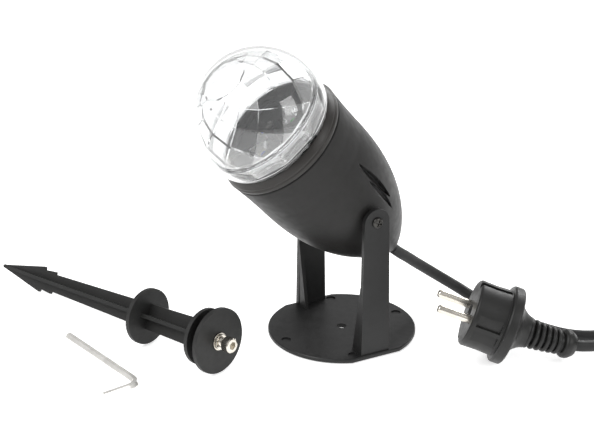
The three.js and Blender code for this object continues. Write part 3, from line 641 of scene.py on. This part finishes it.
# The plug's moulded body, with the grooves in its face and the pins' sockets cut in.
def make_plug_shell():
    shell = turned("plug_shell", [
        (0, -34), (8.9, -34), (9.3, -32.5, 0.8), (10.6, -30.2, 2), (13, -27.4, 2), (17.4, -25.6, 1.2),
        (21.2, -25, 0.6), (22, -24.2, 0.5), (22, -19.6, 0.7), (21.2, -18.7, 0.4), (19, -18.5, 0.2),
        (18.6, -10, 0), (18.9, -1, 0.9), (17.8, 0, 0.5), (4.6, 0, 0.3), (4.2, -1.2, 0.3), (0, -1.2),
    ], RUBBER, None, PLUG, 128)
    cutters = []
    for side in (-1, 1):
        cutters.append(box_cutter((5.2, 3.2, 19.6), (side * 18.4, 0, -8.2), PLUG))
        cutters.append(box_cutter((9.4, 3.2, 14), (6, side * 18.7, -10), PLUG))
        cutters.append(box_cutter((9.4, 3.2, 14), (-6, side * 18.7, -10), PLUG))
        socket = lathe_mesh([(0, -12), (2.7, -12), (2.7, 2), (0, 2)], 32)
        cutters.append(cutter(*socket, pin_place(side)))
    cut(shell, cutters)
    shade(shell.data, 30)
    soften(shell, 0.22, 2, 40)
    settle(shell, "base", ("plug_body",))
    return shell


def make_bend_relief():
    core = [relief_place(distance).translation for distance in RELIEF_CORE_PLACES]
    verts, faces = tube_mesh(core, RELIEF_CORE_RADIUS, 40)
    pieces = [piece("plug_relief_core", verts, faces, RUBBER, "base")]
    for i in range(RIB_COUNT):
        radius = 8.7 - i * 0.3
        place = relief_place(RIB_START + i * RIB_SPACING)
        pieces.append(turned(f"plug_relief_rib_{i + 1}", [
            (4.6, -1.15), (radius - 0.4, -1.15, 0.4), (radius, -0.4, 0.4), (radius, 0.5, 0.4),
            (radius - 0.5, 1.15, 0.4), (4.6, 1.15),
        ], RUBBER, "base", place, 64, True, 40))
    pieces.append(turned("plug_relief_end", [
        (3.3, -3.9), (6.2, -3.9, 0.5), (8.2, -0.6, 1.2), (8.2, 2.2, 0.8), (7, 3.4, 0.5), (3.3, 3.4),
    ], RUBBER, "base", relief_place(RELIEF_END), 72, True, 40))
    return pieces


def make_pin(label, side):
    return turned(f"plug_prong_{label}", [
        (0, -11), (2.4, -11, 0.2), (2.4, 17.2, 0.8), (1.9, 18.5, 0.7), (0.8, 19, 0.3), (0, 19),
    ], NICKEL, "base", pin_place(side), 48, stands_for=(f"plug_pin_{label}",))


def make_plug():
    return [make_plug_shell(), *make_bend_relief(), make_pin("a", -1), make_pin("b", 1)]


# ------------------------------------------------------------------ lamp head
HEAD_RADIUS = 35.9
HEAD_TAPER_START = 36.3
HEAD_TAPER_LENGTH = 86.9
TAIL_END = -45.6
BOSS_RADIUS = 6.2
BOSS_FACE = 33.3
# How deep a slot must be for its painted shade to be full.
SLOT_SHADE_DEPTH = 1.3
COVER_CENTRE = 78.2
COVER_RADIUS = 37.8
COVER_WALL = 1.6
COVER_STEPS = 28


# The housing's bullet shape: its radius at a place along the head's axis.
def head_radius(place):
    back = max(0, (HEAD_TAPER_START - place) / HEAD_TAPER_LENGTH)
    return HEAD_RADIUS * max(0, 1 - back ** 2.47) ** (1 / 1.2)


# Depth of a leaf-shaped slot at a place on the housing. It slopes in from one edge, up to a steep wall.
def leaf(place, angle, front, back, bow, half_width, depth):
    t = (front[0] - place) / (front[0] - back[0])
    if t <= 0 or t >= 1:
        return 0
    middle = front[1] + (back[1] - front[1]) * t + bow * 4 * t * (1 - t)
    across = math.radians(angle - middle) * head_radius(place)
    width = half_width * math.sin(math.pi * t) ** 0.8
    if abs(across) >= width:
        return 0
    u = (across / width + 1) / 2
    return depth * smoothstep(u / 0.7) * (1 - smoothstep((u - 0.9) / 0.1)) * min(1, width / 0.8)


# Two slots and a small drain hole on each side, mirrored left to right.
def slot_depth(place, degrees):
    angle = degrees if degrees <= 90 else 180 - degrees
    upper = leaf(place, angle, (31.4, 26.4), (-3.2, 31), -1.3, 2.5, 2.0)
    lower = leaf(place, angle, (19.5, 22.0), (-9.6, 25.2), 0.2, 1.9, 1.3)
    drain = leaf(place, angle, (-17.4, 0), (-23.8, 0), 0, 1.1, 1.6)
    return max(upper, lower, drain)


# The housing's mesh is finer where the slots are.
def housing_angles():
    dense = [(-14, 40), (140, 194)]
    angles = []
    degrees = -14.0
    while degrees < 345.9:
        angles.append(degrees)
        fine = any(low <= degrees < high for low, high in dense)
        degrees += 0.4 if fine else 2.5
    return angles


# The housing's outline in three stretches: the tail's opening, the side, and the front with the inside.
def housing_outline():
    tail = [(4.9, -43.4), (4.9, -45.6), (5.3, -46), (6.6, -46)]
    side = []
    place = TAIL_END
    while place < 36:
        side.append((head_radius(place), place))
        place += 0.5 if place < -30 else 0.7
    front = rounded([
        (35.95, 36.3), (36.25, 46, 1), (36.95, 56.4, 0.5), (36.5, 56.9, 0.4), (34.8, 56.9, 0.3),
        (34.6, 52.8),
    ])
    inside = [(33.6, 51.6), (33.6, 36), (24, -20), (9, -42)]
    return tail, side, [*front, *inside]


# A point on the housing's side, which is flat round the pivots.
def side_point(radius, height, degrees):
    x = radius * math.cos(math.radians(degrees))
    y = radius * math.sin(math.radians(degrees))
    if math.hypot(y, height) < BOSS_RADIUS and abs(x) > BOSS_FACE:
        x = math.copysign(BOSS_FACE, x)
    return x, y, height


def make_housing():
    tail, side, front = housing_outline()
    degrees = housing_angles()
    angles = [math.radians(d) for d in degrees]
    verts, faces = lathe_mesh([*tail, *side, *front], closed=True, angles=angles)
    slot_shade = [0.0] * len(verts)
    for row, (radius, height) in enumerate(side, len(tail)):
        for column, angle in enumerate(degrees):
            deep = slot_depth(height, angle)
            vertex = row * len(degrees) + column
            verts[vertex] = side_point(radius - deep, height, angle)
            # The share of painted shade here, by how deep the slot is.
            slot_shade[vertex] = min(1, deep / SLOT_SHADE_DEPTH)
    shell = piece("head_shell", verts, faces, HOUSING, None, HEAD, 50)
    attribute = shell.data.attributes.new("slot_depth", "FLOAT", "POINT")
    attribute.data.foreach_set("value", slot_shade)
    settle(shell, "head", ("head_housing",))


def make_bezel():
    turned("bezel_ring", [
        (35.9, 58.9), (36.1, 57.6, 0.3), (36.9, 57.6, 0.4), (37.2, 58.6, 0.5), (37.25, 59.8, 0.3),
        (36.85, 60.3, 0.2), (36.8, 60.7, 0.2), (36.9, 61.3, 0.4), (36.5, 62.6, 0.8), (35.8, 64.1, 0.7),
        (35.1, 65.2, 0.4), (34.55, 65.4, 0.2), (34.55, 62.7), (35.9, 62.7),
    ], BEZEL, "head", HEAD, 160, True, 40, ("front_bezel",))


# One wall of the cover: an arc about the cover's centre, from the given height up to the tip.
def dome_arc(radius, low):
    start = math.asin((low - COVER_CENTRE) / radius)
    points = []
    for i in range(COVER_STEPS):
        angle = start + (math.pi / 2 - start) * i / COVER_STEPS
        points.append((radius * math.cos(angle), COVER_CENTRE + radius * math.sin(angle)))
    return [*points, (0, COVER_CENTRE + radius)]


def make_cover():
    inside = [(32.7, 65.2), *dome_arc(COVER_RADIUS - COVER_WALL, 66.3)]
    neck = [(32.7, 60.8), (35.5, 60.8), (35.5, 62.3), (34.3, 62.5), (34.3, 65.3)]
    outside = dome_arc(COVER_RADIUS, 65.9)
    turned("cover_dome", [*reversed(inside), *neck, *outside],
           CLEAR, "head", HEAD, 128, False, 40, ("clear_cover",))


# ------------------------------------------------------------------ crystal
CRYSTAL_SIDES = 11
CRYSTAL_TURN = math.radians(-18.6)
CRYSTAL_RADIUS = 35.4
CRYSTAL_FOOT = 66.7
CRYSTAL_FOOT_RADIUS = 33
CRYSTAL_TOP = 130
MOUTH_RADIUS = 30.4
BORE_SHARE = 0.93
FIRST_RINGS = (98, 81.5)
LAST_RING = 24
SEAM = 77.4
SEAM_HALF = 1.2
RIM_GAP = 0.15
RIM_HEIGHT = 1

# A ring's least polar angle, and how milky its facets are, which also sets how much painted glow they have.
RING_HAZE_AND_GLOW = [(74, 0.24), (60, 0), (0, 0.08)]
# How much the milkiness and painted glow vary from facet to facet, standing in for reflections that differ
# between facets.
UNEVEN_HAZE_AND_GLOW = 0.13


# Polar angles of the crystal's rings of corners, so that each four-sided facet between them is flat.
def facet_rings():
    half = math.pi / CRYSTAL_SIDES
    rings = [math.radians(polar) for polar in FIRST_RINGS]
    while rings[-1] > math.radians(LAST_RING):
        bottom, side = rings[-2], rings[-1]
        across = math.sin(bottom) - math.sin(side) * math.cos(half)
        along = math.cos(side) - math.cos(bottom)
        rings.append(2 * math.atan2(along, across) - bottom)
    return rings


# The crystal's whole outer shape: the hull of its rings of corners and of a round foot.
def faceted_ball():
    bm = bmesh.new()
    step = 2 * math.pi / CRYSTAL_SIDES
    for row, polar in enumerate(facet_rings()):
        for i in range(CRYSTAL_SIDES):
            angle = (i + (row % 2) / 2) * step + CRYSTAL_TURN
            bm.verts.new((CRYSTAL_RADIUS * math.sin(polar) * math.cos(angle),
                          CRYSTAL_RADIUS * math.sin(polar) * math.sin(angle),
                          COVER_CENTRE + CRYSTAL_RADIUS * math.cos(polar)))
    for i in range(CRYSTAL_SIDES):
        angle = i * step + CRYSTAL_TURN
        x, y = CRYSTAL_FOOT_RADIUS * math.cos(angle), CRYSTAL_FOOT_RADIUS * math.sin(angle)
        bm.verts.new((x, y, CRYSTAL_FOOT))
    bmesh.ops.convex_hull(bm, input=bm.verts)
    bmesh.ops.dissolve_limit(bm, angle_limit=math.radians(0.5), verts=bm.verts, edges=bm.edges)
    bm.verts.index_update()
    verts = [tuple(v.co) for v in bm.verts]
    faces = [tuple(v.index for v in f.verts) for f in bm.faces]
    bm.free()
    return verts, faces


# One half of the crystal, from low to high, with a faceted bore parallel to its outside, and its round rim.
def crystal_half(name, node, low, high, rim_low):
    verts, faces = faceted_ball()
    half = piece(name, verts, faces, CRYSTAL, None, HEAD, 1)
    centre = Vector((0, 0, COVER_CENTRE))
    inside = [centre + (Vector(v) - centre) * BORE_SHARE for v in verts]
    hollow = cutter(inside, faces, HEAD, 1)
    mouth = cutter(*lathe_mesh([(0, 50), (MOUTH_RADIUS, 50), (MOUTH_RADIUS, 74), (0, 74)], 64), HEAD)
    below = box_cutter((100, 100, 60), (0, 0, low - 30), HEAD)
    above = box_cutter((100, 100, 60), (0, 0, high + 30), HEAD)
    cut(half, [hollow, mouth, below, above])
    half.data.shade_flat()
    set_facet_haze_and_glow(half.data)
    settle(half, "rotor", (node,))
    rim_high = rim_low + RIM_HEIGHT
    turned(name + "_rim", [
        (32.7, rim_low), (35.4, rim_low, 0.2), (35.65, rim_low + 0.2, 0.2), (35.65, rim_high - 0.2, 0.2),
        (35.4, rim_high, 0.2), (32.7, rim_high),
    ], CRYSTAL, "rotor", HEAD, 128, True, 30)


# How milky each outer facet is, and so how much painted glow it has: by its ring, and a little uneven from
# facet to facet, as painted reflection.
def set_facet_haze_and_glow(mesh):
    across, forward, axis = HEAD.to_3x3().col
    centre = HEAD @ Vector((0, 0, COVER_CENTRE)) * MM
    haze_and_glow = mesh.attributes.new("facet_haze_and_glow", "FLOAT", "FACE")
    for polygon in mesh.polygons:
        outward = polygon.normal.dot((polygon.center - centre).normalized())
        if outward < 0.5:
            continue
        polar = math.degrees(polygon.normal.angle(axis))
        sector = math.degrees(math.atan2(polygon.normal.dot(forward), polygon.normal.dot(across)))
        uneven = math.sin(sector * 0.37 + polar * 1.3)
        ring_share = next(share for least, share in RING_HAZE_AND_GLOW if polar >= least)
        haze_and_glow.data[polygon.index].value = max(0, ring_share + UNEVEN_HAZE_AND_GLOW * uneven)


def make_crystal():
    upper_rim = SEAM + RIM_GAP
    lower_rim = SEAM - RIM_GAP - RIM_HEIGHT
    crystal_half("crystal_upper", "crystal_cap", SEAM + SEAM_HALF, CRYSTAL_TOP, upper_rim)
    crystal_half("crystal_lower", "crystal_band", CRYSTAL_FOOT, SEAM - SEAM_HALF, lower_rim)


# ------------------------------------------------------------------ pivot and gland
SCREW_TURN = 25


def cross_recess(obj, place, size, low, high):
    middle = (0, 0, (low + high) / 2)
    cut(obj, [
        box_cutter((size, size * 0.2, high - low), middle, place),
        box_cutter((size * 0.2, size, high - low), middle, place),
    ])


def make_pivot(label, side):
    place = HEAD @ turn(90 * side, "Y") @ turn(SCREW_TURN, "Z")
    screw = turned(f"pivot_bolt_{label}", [
        (0, 21.6), (2, 21.6, 0.2), (2, 38.1), (3.1, 38.1, 0.1), (3.1, 38.5, 0.4), (2.7, 39.2, 0.5),
        (1.6, 39.5, 0.5), (0, 39.55),
    ], DARK_STEEL, None, place, 64)
    cross_recess(screw, place, 3.9, 38.6, 42)
    shade(screw.data, 35)
    settle(screw, "head", (f"pivot_screw_{label}",))
    turned(f"pivot_disc_{label}", [
        (2.3, 33.7), (5.1, 33.7, 0.2), (5.1, 34.7, 0.2), (2.3, 34.7),
    ], DARK_STEEL, "head", place, 64, True, 35, (f"pivot_washer_{label}",))


def make_gland():
    turned("gland_sleeve", [
        (3.3, -49), (3.9, -49, 0.15), (4.2, -47.6, 0.6), (4.6, -46.3, 0.4), (4.5, -45.8), (4.5, -43.1),
        (6.2, -43.1, 0.2), (6.2, -41.2, 0.2), (4.5, -40.8), (4.1, -29, 0.2), (3.3, -29),
    ], RUBBER, "head", HEAD, 64, True, 35, ("strain_relief",))


# ------------------------------------------------------------------ stake, bracket, key and coil band
THREAD_START = -10.8
THREAD_END = 3.4
THREAD_PITCH = 0.8
SOCKET_CORNER = 2.42
SOCKET_BOTTOM = 7.2
SOCKET_OPEN = 12


# A six-sided prism, for a socket in a screw's head.
def hexagon_mesh(corner, low, high):
    corners = [math.pi / 3 * i for i in range(6)]
    verts = [(corner * math.cos(a), corner * math.sin(a), z) for z in (low, high) for a in corners]
    ends = [(5, 4, 3, 2, 1, 0), (6, 7, 8, 9, 10, 11)]
    sides = [(i, (i + 1) % 6, 6 + (i + 1) % 6, 6 + i) for i in range(6)]
    return verts, ends + sides


def make_stake_bolt():
    outline = [(0, -11), (2.1, -11)]
    place = THREAD_START
    while place < THREAD_END:
        outline += [(2.45, place + 0.25), (2.05, place + 0.65)]
        place += THREAD_PITCH
    outline += [(2.5, 4.2), (2.5, 5), (4.1, 5.0), (4.25, 5.3), (4.25, 9.3), (3.9, 9.9), (3.6, 10), (0, 10)]
    bolt = turned("stake_bolt", outline, NICKEL, None, SPIKE, 72)
    cut(bolt, [cutter(*hexagon_mesh(SOCKET_CORNER, SOCKET_BOTTOM, SOCKET_OPEN), SPIKE)])
    shade(bolt.data, 30)
    settle(bolt, "stake", ("spike_screw",))


def make_stake():
    refined("stake_form", "spike_body", STAKE, "stake", 0.28, 35)
    washer = [(2.75, -0.25), (5, -0.25, 0.15), (5, 0.75, 0.15), (2.75, 0.75)]
    turned("stake_washer_disc", washer, NICKEL, "stake", SPIKE, 64, True, 35, ("spike_washer",))
    spring = [(2.75, 0.95), (4.4, 0.95, 0.2), (4.4, 1.95, 0.2), (2.75, 1.95)]
    turned("stake_spring_ring", spring, NICKEL, "stake", SPIKE, 64, True, 35)
    make_stake_bolt()


def make_bracket():
    refined("bracket_frame", "base_bracket", BRACKET, "base", 0.35, 30, 3)


def make_key():
    refined("hex_wrench", "hex_key", CHROME, "key", 0.25, 25)


def make_coil_band():
    return refined("coil_band", "coil_tie", WHITE, "base", 0.3, 35)


# ------------------------------------------------------------------ CAD nodes that stay
KEPT = {
    "inner_cord_end": CORD, "bezel_gasket": SEAL, "cover_seal": SEAL, "crystal_carrier": DECK,
    "inner_chassis": DECK, "deck_plate": DECK, "motor_bracket": ALUMINIUM, "heat_sink": ALUMINIUM,
    "gear_motor": NICKEL, "drive_shaft": NICKEL, "hub_screw": DARK_STEEL, "led_board": WHITE,
    "driver_board": BOARD, "transformer": BROWN, "smoothing_capacitor": BLUE, "terminal_block": WHITE,
    "led_lead": RED, "cord_clamp": WHITE, "mains_core_live": BROWN, "mains_core_neutral": BLUE,
    "spike_insert": NICKEL, "pivot_nut_left": NICKEL, "pivot_nut_right": NICKEL,
    "motor_screw_1": NICKEL, "motor_screw_2": NICKEL, "clamp_screw_1": NICKEL, "clamp_screw_2": NICKEL,
    "stack_screw_1": NICKEL, "stack_screw_2": NICKEL, "stack_screw_3": NICKEL,
}
LED_TINTS = {
    "red": (0.8, 0.06, 0.04), "green": (0.06, 0.7, 0.1),
    "blue": (0.05, 0.12, 0.85), "white": (0.9, 0.86, 0.7),
}


def finish_node(name, material):
    node = NODES[name]
    if not node.material_slots:
        node.data.materials.append(material)
    for slot in node.material_slots:
        slot.material = material


def finish_kept_nodes():
    for name, material in KEPT.items():
        finish_node(name, material)
    for label, colour in LED_TINTS.items():
        finish_node(f"collimator_{label}", LENS)
        finish_node(f"led_{label}", moulded(f"emitter_{label}", colour, 0.25, 2500, 0.00001))


make_camera()
make_studio()
plug_pieces = make_plug()
make_bracket()
make_key()
make_cord([make_coil_band()])
make_housing()
make_bezel()
make_cover()
make_crystal()
make_pivot("left", -1)
make_pivot("right", 1)
make_gland()
make_stake()
finish_kept_nodes()
